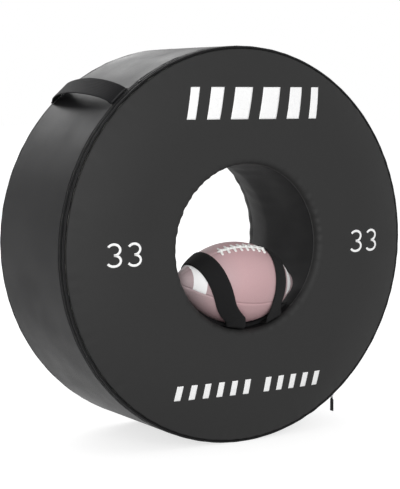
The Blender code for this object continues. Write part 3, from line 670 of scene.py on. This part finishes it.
def handleCentre(share):
    # Depth along the axis and lift off the tread: flat at the sewn feet, an arch between
    front, back = handle["ends"]
    depth = front + (back - front) * share
    foot = handle["foot"]
    inside = np.clip((depth - front - foot) / (back - front - 2 * foot), 0, 1)
    power, start = handle["archPower"], handle["archStart"]
    arch = (np.sin(pi * inside) + start) ** power - start ** power
    lift = handle["rise"] * arch / ((1 + start) ** power - start ** power)
    return joined(depth, lift, axis=1)


def handleBand():
    # Curved with the tread where it is sewn down, and a little cupped where it is free
    share = bunched(handle["rows"])[:, None]
    centre = handleCentre(share)
    depth, lift = centre[:, :1], centre[:, 1:]
    forward = unit(np.gradient(centre, axis=0))
    smoothed = forward.copy()
    smoothed[1:-1] = unit(forward[:-2] + 2 * forward[1:-1] + forward[2:])
    loop, level = bandSection(handle)
    free = smooth(lift / handle["freeLift"])
    aside = loop * handle["width"] / 2 * (1 - handle["narrowing"] * free)
    bend = aside ** 2 / 2 / wheel["radius"] * (1 - free)
    cup = handle["cup"] * loop ** 2 + handle["twist"] * np.sin(9 * share + 2 * loop)
    raised = cup * free + level
    base = wheel["radius"] + handle["seat"] + handle["thickness"] / 2
    points = handlePoints(base + lift - bend + raised * smoothed[:, :1], aside,
                          depth - raised * smoothed[:, 1:])
    bandPiece("carry_webbing", handle, points, loop, depth,
              handleWebbing, "webbing", "carry_handle")


def footStitches(name, middle):
    # A sewn box with a cross in it, as rows of small capsules
    wide, half = handle["width"] / 2 - handle["stitchMargin"], handle["stitchHalf"]
    corners = np.array([[-wide, -half], [wide, -half], [wide, half], [-wide, half]])
    steps = np.array([-1.0, -0.7, 0.0, 0.7, 1.0])[:, None]
    rows = []
    for a, b in [(0, 1), (1, 2), (2, 3), (3, 0), (0, 2), (1, 3)]:
        way = corners[b] - corners[a]
        length = np.linalg.norm(way)
        count = max(int(length / handle["stitchPitch"]), 2)
        share = (np.arange(count)[:, None, None] + 0.5) / count
        rows.append(corners[a] + way * share + way / length * steps * handle["stitchReach"])
    aside, along = np.moveaxis(joined(*rows), -1, 0)
    top = wheel["radius"] + handle["seat"] + handle["thickness"] + handle["stitchThread"]
    centres = handlePoints(top - aside ** 2 / 2 / wheel["radius"], aside, middle + along)
    outs = np.broadcast_to(handleOut, centres.shape)
    stitchPiece(name, centres, outs, handle["stitchThread"])


say("handle")
handleBand()
footStitches("handle_stitches_front", handle["ends"][0] + handle["stitchPlace"])
footStitches("handle_stitches_back", handle["ends"][1] - handle["stitchPlace"])


# Ball: its place and its long axis are those of the joint that it rolls about

ballJoint = next(j for j in frame["joints"] if j["name"] == "ball_roll")
ballCentre = np.array(ballJoint["pos_m"])
ballLong = -np.array(ballJoint["axis"])
ballUp = np.cross(ballLong, towardsFront)

ball = {
    "halfLength": 0.143, "radius": 0.086, "skin": 0.0022,
    "rows": 140, "columns": 56,
    "laceSeam": radians(64.0), "seamDepth": 0.0012, "seamWidth": 0.002,
    "seamGap": 0.00015,
    "noseStart": 0.118, "noseRun": 0.022, "noseEnd": 0.1455, "noseShare": 0.42,
    "tipStation": 0.9993, "tipRadius": 0.02,
}
ballArc = (ball["halfLength"] ** 2 + ball["radius"] ** 2) / (2 * ball["radius"])

lace = {
    "start": -0.047, "stop": 0.069, "sides": 10,
    "spineHeight": 0.0016, "spineSize": (0.004, 0.0018), "spineSteps": 60, "wobble": 0.0003,
    "crossHeight": 0.0013, "crossSize": (0.0034, 0.0015), "crossSteps": 21,
    "crosses": 8, "crossReach": 0.013, "overSpine": 0.003, "intoHole": 0.0014,
}


def ballRadius(station):
    # An arc turned about its own chord, with a blunter, elliptical nose at either end
    arc = np.sqrt(np.maximum(ballArc ** 2 - station ** 2, 0)) - (ballArc - ball["radius"])
    nose = ball["radius"] * np.sqrt(np.maximum(1 - (station / ball["noseEnd"]) ** 2, 0))
    share = ball["noseShare"] * smooth((np.abs(station) - ball["noseStart"]) / ball["noseRun"])
    return np.maximum(arc, 0) * (1 - share) + nose * share


def ballPoints(station, angle, radius):
    # A point at a station along the ball, at an angle from its front upwards
    side = np.cos(angle)[..., None] * towardsFront + np.sin(angle)[..., None] * ballUp
    return ballCentre + station[..., None] * ballLong + radius[..., None] * side


def ballPanel(node, quarter, leather):
    # A quarter of the ball, its edges turned down into the seams on either side
    turn = np.linspace(-pi / 2, pi / 2, ball["rows"])[:, None]
    station = ball["tipStation"] * ball["noseEnd"] * np.sin(turn)
    radius = ballRadius(station)
    margin = np.arcsin(np.clip(ball["seamGap"] / np.maximum(radius, 0.0004), 0, 0.4))
    inside = margin + (pi / 2 - 2 * margin) * bunched(ball["columns"])
    toSeam = radius * np.minimum(inside, pi / 2 - inside)
    fall = ball["seamDepth"] * np.exp(-(toSeam / ball["seamWidth"]) ** 2)
    fall = fall * smooth(radius / ball["tipRadius"])
    points = ballPoints(station, ball["laceSeam"] + quarter * pi / 2 + inside, radius - fall)
    gridPiece(node + "_skin", points, leather, "ball_leather", [node], "ball",
                        ball["skin"], uv=together(station, radius * inside),
                        outward=lambda places: places - ballCentre)


def laceStrand(name, station, aside, height, size, ends, nodes=()):
    # Flat cords at a height over the ball and a distance to the side of its seam
    radius = ballRadius(station) + height
    centres = ballPoints(station, ball["laceSeam"] + aside / radius, radius)
    outs = centres - (ballCentre + station[..., None] * ballLong)
    mesh = sweepMany(name, centres, outs, size[0] * ends, size[1] * ends, lace["sides"])
    addPiece(name, mesh, laceCord, nodes, "ball")


def ballLace():
    # A flat cord along the seam and eight more across it, each going down into its holes
    station = np.linspace(lace["start"], lace["stop"], lace["spineSteps"])[None]
    fromEnd = np.minimum(np.arange(lace["spineSteps"]), np.arange(lace["spineSteps"])[::-1])
    laceStrand("ball_lace_spine", station, lace["wobble"] * np.sin(station * 480),
               lace["spineHeight"], lace["spineSize"], np.clip(fromEnd / 3 + 0.3, 0, 1),
               ["ball_laces"])
    pitch = (lace["stop"] - lace["start"]) / lace["crosses"]
    middle = lace["start"] + pitch * (np.arange(lace["crosses"])[:, None] + 0.5)
    w = np.linspace(-1, 1, lace["crossSteps"])[None]
    overSpine = lace["overSpine"] * (1 - smooth(np.abs(w) / 0.46))
    intoHole = lace["intoHole"] * smooth((np.abs(w) - 0.85) / 0.15)
    laceStrand("ball_lace_crosses", middle + 0.0004 * np.sin(5 * w + middle * 900),
               lace["crossReach"] * w, lace["crossHeight"] + overSpine - intoHole,
               lace["crossSize"], np.clip((1.08 - np.abs(w[0])) / 0.16, 0.35, 1))


say("ball")
ballPanel("ball_panel_upper_back", 0, upperLeather)
ballPanel("ball_panel_lower_back", 1, lowerLeather)
ballPanel("ball_panel_lower_front", 2, lowerLeather)
ballPanel("ball_panel_upper_front", 3, upperLeather)
ballLace()


# Pad under the ball, and the two straps over it

padLow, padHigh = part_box("ball_seat_pad")
pad = {
    "halfAngle": radians(42.0), "thickness": 0.009, "edge": 0.0008, "seat": 0.0007,
    "rows": 96, "columns": 40, "pulledIn": (0.03, 0.015),
    "channels": 4, "channelDepth": 0.0016, "channelWidth": 0.05,
}


def seatPad():
    # A cushion along the floor of the hole, pulled in between its corners and pinched
    # along sewn channels
    outer = wheel["boreRadius"] - pad["seat"]
    u = np.linspace(-1, 1, pad["rows"])[:, None]
    v = np.linspace(-1, 1, pad["columns"])[None]
    full = np.sqrt(np.clip(1 - np.abs(u) ** 14, 0, 1) * np.clip(1 - np.abs(v) ** 8, 0, 1))
    fromChannel = (np.mod(u * pad["channels"] / 2 + 0.5, 1) - 0.5) / pad["channelWidth"]
    channel = pad["channelDepth"] * np.exp(-fromChannel ** 2)
    thick = pad["edge"] + (pad["thickness"] - pad["edge"] - channel) * full
    endIn, sideIn = pad["pulledIn"]
    half = (padHigh.y - padLow.y) / 2 * (1 - endIn * np.sin(pi * (u + 1) / 2))
    angle = -pi / 2 + pad["halfAngle"] * u * (1 - sideIn * np.cos(pi * v / 2))
    height = (-padLow.y - padHigh.y) / 2 + half * v
    lower = wheelPoints(outer, angle, height)
    points = joined(wheelPoints(outer - thick, angle, height), lower[:, ::-1], axis=1)
    # In the sleeve's darker fabric, which is painted shade inside the hole
    gridPiece("ball_pad_cushion", points, shadedSleeveFabric, "cover_vinyl",
                        ["ball_seat_pad"], closeColumns=True, ends=True)


strap = {
    "width": 0.042, "thickness": 0.0022, "edge": (14, 0.03),
    "columns": 17, "ribs": 19, "ribDepth": 0.00012,
    "clearance": 0.0009, "footLength": 0.022, "bendRadius": 0.0085,
    "frontLeave": radians(124.0), "backLeave": radians(118.0), "turnPower": 1.75,
    "runClearance": 0.0022, "runBow": 0.005, "turnShare": 0.82,
    "frontStart": 0.151, "backStart": 0.104,
    "spacing": 0.004, "rounds": 6,
    "floorCorner": 0.174, "treadCorner": 0.419, "floorGap": 0.0006,
}

# The hole's floor is a flat of the solid, so it is nearer the axis than its corners
flatShare = wheel["axisHeight"] / strap["treadCorner"]
floorRadius = flatShare * strap["floorCorner"] - strap["floorGap"]


def overBall(top, frontTurn, backTurn):
    # Over the ball: a line that slants more the nearer it comes to where it leaves it
    angle = np.linspace(strap["frontLeave"], -strap["backLeave"], 90)
    turn = np.where(angle > 0, frontTurn, backTurn)
    leave = np.where(angle > 0, strap["frontLeave"], strap["backLeave"])
    station = -(top + turn * (np.abs(angle) / leave) ** strap["turnPower"])
    slope = np.arcsin(station / ballArc)
    side = np.sin(angle)[:, None] * towardsFront + np.cos(angle)[:, None] * ballUp
    out = np.cos(slope)[:, None] * side + np.sin(slope)[:, None] * ballLong
    lift = strap["clearance"] + strap["thickness"] / 2
    surface = ballCentre + station[:, None] * ballLong + ballRadius(station)[:, None] * side
    return surface + out * lift, out


def strapSide(leave, before, anchor, slant, start, way):
    # From where the strap leaves the ball to its sewn end: its points, the way each faces
    # and how much it hugs the ball. The end is flat on the floor of the hole, with a quarter
    # roll up off it. A slanting strap drifts as much again along its end.
    foot, bend = strap["footLength"], strap["bendRadius"]
    corner = slant * strap["width"] / 2
    turn = joined(np.linspace(pi / 2, 0, 12), np.zeros(6))[:, None]
    gone = joined(np.full(12, foot), np.linspace(foot, corner, 7)[1:])[:, None]
    left = foot - gone + bend * (pi / 2 - turn)
    lean = np.arcsin((anchor + slant * left) / floorRadius)
    level = sqrt(floorRadius ** 2 - (strap["width"] / 2) ** 2) - strap["thickness"] / 2
    up = joined(np.sin(lean), 0 * lean, -np.cos(lean), axis=1)
    ahead = way * towardsFront
    base = np.array([0, -start, wheel["axisHeight"]]) + up * level + ahead * gone
    end = base + ahead * bend * np.sin(turn) - up * bend * (1 - np.cos(turn))
    down = unit(up[0] + slant * np.array([-up[0][2], 0, up[0][0]]))

    # A smooth curve between the ball and the roll, kept off the ball
    reach = np.linalg.norm(end[0] - leave)
    t = np.linspace(0, 1, 34)[1:-1, None]
    run = (leave * (2 * t ** 3 - 3 * t ** 2 + 1)
           + unit(leave - before) * reach * (t ** 3 - 2 * t ** 2 + t)
           + end[0] * (3 * t ** 2 - 2 * t ** 3) + down * reach * (t ** 3 - t ** 2))
    station = (run - ballCentre) @ ballLong
    side = run - ballCentre - station[:, None] * ballLong
    distance = np.linalg.norm(side, axis=1)
    needed = (ballRadius(station) + strap["thickness"] / 2 + strap["runClearance"]
              + strap["runBow"] * np.sin(pi * t[:, 0]))
    side = side / distance[:, None]
    run = ballCentre + station[:, None] * ballLong + side * np.maximum(distance, needed)[:, None]
    slope = np.arcsin(np.clip(station / ballArc, -1, 1))[:, None]
    turned = smooth((t - strap["turnShare"]) / (1 - strap["turnShare"]))
    out = (np.cos(slope) * side + np.sin(slope) * ballLong) * (1 - turned) + ahead * turned
    return (joined(run, end), joined(out, up * np.cos(turn) + ahead * np.sin(turn)),
            joined(np.linspace(1, 0, len(run)) ** 0.5, np.zeros(len(end))))


def settle(points, outs, length):
    # Evenly spaced points along the line, with the joins between its stretches smoothed
    wanted = np.linspace(0, length[-1], int(length[-1] / strap["spacing"]))
    even, facing = [np.stack([np.interp(wanted, length, values) for values in grid.T], -1)
                    for grid in (points, outs)]
    for _ in range(strap["rounds"]):
        facing[1:-1] = (facing[:-2] + 2 * facing[1:-1] + facing[2:]) / 4
        even[3:-3] = (even[2:-4] + 2 * even[3:-3] + even[4:-2]) / 4
    return wanted, even, unit(facing)


def ballStrap(name, top, turns, frontAnchor, frontSlant, backAnchor, node):
    over, out = overBall(top, *turns)
    front = strapSide(over[0], over[1], frontAnchor, frontSlant, strap["frontStart"], 1)
    back = strapSide(over[-1], over[-2], backAnchor, 0, strap["backStart"], -1)
    points, outs, hug = [joined(first[::-1], middle, last) for first, middle, last in
                         zip(front, (over, out, np.ones(len(over))), back)]
    length = lengthAlong(points)
    wanted, centre, out = settle(points, outs, length)
    hug = np.interp(wanted, length, hug)[:, None]
    along = unit(np.gradient(centre, axis=0))
    out = unit(out - (out * along).sum(1)[:, None] * along)
    wide = np.cross(out, along)
    loop, level = bandSection(strap)
    aside = loop * strap["width"] / 2
    level = level - hug * aside ** 2 / 2 / ballArc
    skin = centre[:, None] + wide[:, None] * aside[..., None] + out[:, None] * level[..., None]
    bandPiece(name, strap, skin, loop, wanted[:, None],
              strapElastic, "elastic", node)


say("pad and straps")
seatPad()
ballStrap("elastic_strap_left", -0.104, (0.046, 0.03), -0.034, 0.24, -0.07, "ball_strap_left")
ballStrap("elastic_strap_right", 0.072, (-0.003, -0.003), 0.066, 0, 0.066, "ball_strap_right")


# Prints on the front face: plain numbers at its sides, and rows of slanted bars

prints = {
    "proud": 0.00025, "thickness": 0.00018,
    "numberHeight": 0.049, "numberWidth": 0.034, "numberStroke": 0.005,
    "numberPitch": 0.044, "numberPlaces": (-0.297, 0.297),
    "topBars": {"low": 0.267, "high": 0.333, "start": -0.152, "space": 0.0265, "slant": 0.016,
                "widths": (0.02, 0.031, 0.043, 0.043, 0.031, 0.02), "firstWord": 6},
    "bottomBars": {"low": -0.3095, "high": -0.2785, "start": -0.178, "space": 0.0185,
                   "slant": 0.005, "widths": (0.014,) * 11, "firstWord": 6, "wordSpace": 0.02},
}


def printPiece(name, x, z):
    # Ink on the front cover, over places in the plane of the face, ripple included
    radius = np.hypot(x, z)
    height = faceHeight(radius, wheel["frontCrown"]) + faceRipple(radius, np.arctan2(z, x), 1)
    points = together(x, -height - prints["proud"], wheel["axisHeight"] + z)
    gridPiece(name, points, whiteInk, "cover_vinyl", wall=prints["thickness"],
              outward=towardsFront)


def threeStroke(name, middle):
    # The figure three: two open arcs, one on the other, as a band of even width
    reach = prints["numberStroke"] / 2
    a, b = prints["numberWidth"] / 2 - reach, prints["numberHeight"] / 4 - reach / 2
    upper = np.linspace(radians(150), radians(-90), 40)
    lower = np.linspace(radians(90), radians(-150), 40)
    x = joined(a * 0.92 * np.cos(upper), a * np.cos(lower))
    z = joined(b + b * np.sin(upper), -b + b * np.sin(lower))
    along = unit(np.gradient(np.stack([x, z], -1), axis=0))
    across = np.linspace(-reach, reach, 5)[None]
    printPiece(name, middle + x[:, None] - along[:, 1:] * across,
               z[:, None] + along[:, :1] * across)


def slantedBar(name, left, width, bars):
    up = np.linspace(0, 1, 18)[:, None]
    across = np.linspace(0, 1, 12)[None]
    printPiece(name, left + width * across + bars["slant"] * up,
               bars["low"] + (bars["high"] - bars["low"]) * up)


say("prints")
for side, middle in zip(("left", "right"), prints["numberPlaces"]):
    for digit in (0, 1):
        threeStroke("print_number_%s_%d" % (side, digit + 1),
                    middle + (digit - 0.5) * prints["numberPitch"])
for row in ("top", "bottom"):
    bars = prints[row + "Bars"]
    left = bars["start"]
    for index, width in enumerate(bars["widths"]):
        if index == bars["firstWord"]:
            left += bars["wordSpace"]
        slantedBar("print_%s_bar_%d" % (row, index + 1), left, width, bars)
        left += width + bars["space"]


# Nodes that keep their own shape

say("kept nodes")
for material, nodes in (
        (nickelZinc, ("zip_slider", "zip_bail")),
        (blackZinc, ("zip_stop_closed_end", "zip_stop_open_end")),
        (tabRubber, ("zip_pull_tab",)),
        (valveRubber, ("ball_valve",)),
        (bladderRubber, ("ball_bladder",)),
        (foamCells, ("foam_slab_front", "foam_slab_middle", "foam_slab_back", "tread_foam_wrap"))):
    for node in nodes:
        for materialSlot in frame["nodes"][node].material_slots:
            materialSlot.material = material


# Stage: floor, backdrop, lamps and camera

def seenDirectly(tree):
    # One where the camera, a reflection or a see-through piece looks at the backdrop
    seen = 0.0
    for ray in ("Is Camera Ray", "Is Glossy Ray", "Is Transmission Ray"):
        hit = addNode(tree, "LightPath", output=ray)
        seen = addNode(tree, "Math", [seen, hit], operation="MAXIMUM")
    return seen


def stageFloor():
    # Pale and matt; a camera sees it lifted to white, so only the object's shadow shows
    reach = np.array([-30.0, 30.0])
    mesh = surfaceMesh("floor", together(reach, reach[:, None], 0), outward=(0, 0, 1))
    material, tree = newMaterial("pale_studio_floor")
    lift = addNode(tree, "Math", [seenDirectly(tree), 0.72], operation="MULTIPLY")
    feed(tree, tree.nodes["Principled BSDF"], {
        "Base Color": linear("b4b4b4"), "Roughness": 0.9, "IOR": 1.5,
        "Emission Color": (1, 1, 1, 1), "Emission Strength": lift})
    mesh.materials.append(material)
    addObject("floor", mesh)


def stageWorld():
    # White where it is looked at; as light dim at the horizon and brighter overhead
    world = bpy.data.worlds.new("studio")
    bpy.context.scene.world = world
    world.use_nodes = True
    tree = world.node_tree
    upwards = addNode(tree, "SeparateXYZ", [addNode(tree, "TexCoord", output="Generated")], "Z")
    level = addNode(tree, "MapRange", [upwards, 0.05, 0.7, 0.34, 0.7])
    strength = addNode(tree, "Mix", {0: seenDirectly(tree), 2: level, 3: 1.0})
    feed(tree, tree.nodes["Background"], {"Color": (1, 1, 1, 1), "Strength": strength})


def aim(rig, place, ahead):
    rig.location = place
    rig.rotation_euler = ahead.to_track_quat("-Z", "Y").to_euler()


def stageLamp(name, place, target, size, power):
    lamp = bpy.data.lights.new(name, "AREA")
    lamp.shape = "SQUARE"
    lamp.size = size
    lamp.energy = power
    rig = addObject(name, lamp)
    aim(rig, place, Vector(target) - Vector(place))
    rig.visible_camera = False


camera = {
    "place": Vector((-1.729, -2.825, 0.736)),
    "ahead": Vector((0.517, 0.8503, -0.0982)),
    "lens": 111.92, "frame": 36.0,
}


def stageCamera():
    data = bpy.data.cameras.new("photo_view")
    data.sensor_fit = "VERTICAL"
    data.sensor_height = camera["frame"]
    data.lens = camera["lens"]
    rig = addObject("photo_view", data)
    aim(rig, camera["place"], camera["ahead"])
    bpy.context.scene.camera = rig


say("stage")
stageFloor()
stageWorld()
stageLamp("back_softbox", (0.3, 4.0, 3.3), (0, 0, 0.5), 3.6, 79)
stageLamp("front_softbox", (-1.9, -4.2, 1.5), (0, 0, 0.4), 2.8, 125)
stageCamera()
bpy.context.scene.view_settings.view_transform = "Standard"
